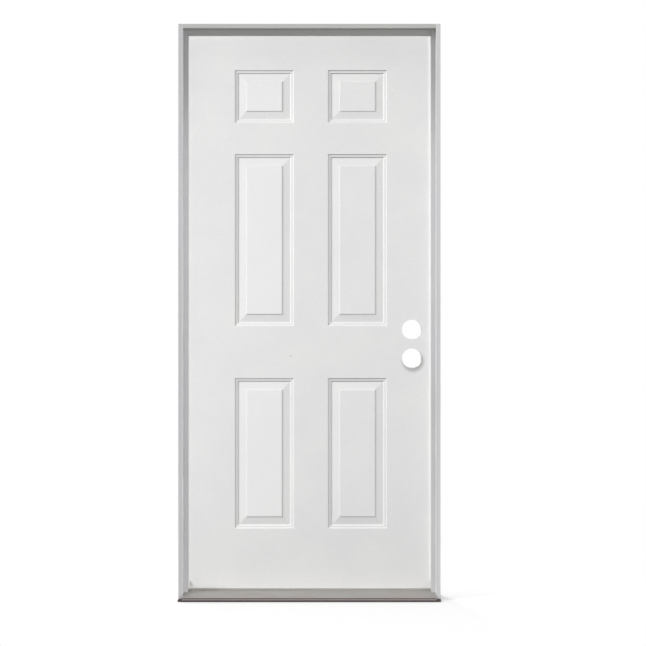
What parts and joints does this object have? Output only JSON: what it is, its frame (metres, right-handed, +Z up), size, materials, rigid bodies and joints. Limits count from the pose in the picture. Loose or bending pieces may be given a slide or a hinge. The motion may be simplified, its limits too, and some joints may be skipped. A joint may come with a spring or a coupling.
{
  "type": "panelled front door",
  "caption": "Embossed raised-panel steel entry door slab, hung on butt hinges in a rebated wooden frame with head, aluminium sill, seals and open round lock bores.",
  "frame": {"origin": "middle of the sill's underside, half-way through the jamb's depth", "axes": "+X to the right seen from outside, -Y outside, +Y inside, +Z up; hinges on the -X side"},
  "size_m": [0.9524, 0.1619, 2.0956],
  "materials": {
    "jamb": "satin grey primer paint on finger-jointed timber",
    "skin": "matte pale grey factory primer on embossed steel",
    "deck": "mill-finish extrusion, fine lines along its length",
    "substrate": "dark brown wood-plastic composite",
    "cap": "grey-brown composite",
    "seal": "foam bulb in a pale matte jacket",
    "sweep": "pale matte vinyl",
    "foam": "poured foam, matte",
    "timber": "bare softwood",
    "rail": "composite rail",
    "hinge": "zinc-plated, satin",
    "fastener": "yellow zinc plate"
  },
  "bodies": {
    "frame": {"hinge_jamb": "jamb", "strike_jamb": "jamb", "head_jamb": "jamb", "sill_substrate": "substrate", "sill_deck": "deck", "sill_cap": "cap", "seal_hinge_side": "seal", "seal_strike_side": "seal", "seal_head": "seal", "seal_corner_pads": "seal", "jamb_hinge_screws": "fastener", "hinge_top_jamb_leaf": "hinge", "hinge_top_pin": "hinge", "hinge_middle_jamb_leaf": "hinge", "hinge_middle_pin": "hinge", "hinge_low_jamb_leaf": "hinge", "hinge_low_pin": "hinge"},
    "door": {"exterior_skin": "skin", "interior_skin": "skin", "foam_core": "foam", "hinge_stile": "timber", "lock_stile": "timber", "lock_block": "timber", "top_rail": "timber", "bottom_rail": "rail", "door_sweep": "sweep", "door_hinge_screws": "fastener", "hinge_top_door_leaf": "hinge", "hinge_middle_door_leaf": "hinge", "hinge_low_door_leaf": "hinge"}
  },
  "joints": [
    {"name": "door_swing", "type": "hinge", "parent": "frame", "child": "door", "pos_m": [-0.4556, 0.067, 1], "axis": [0, 0, 1], "range_deg": [0, 175]}
  ]
}
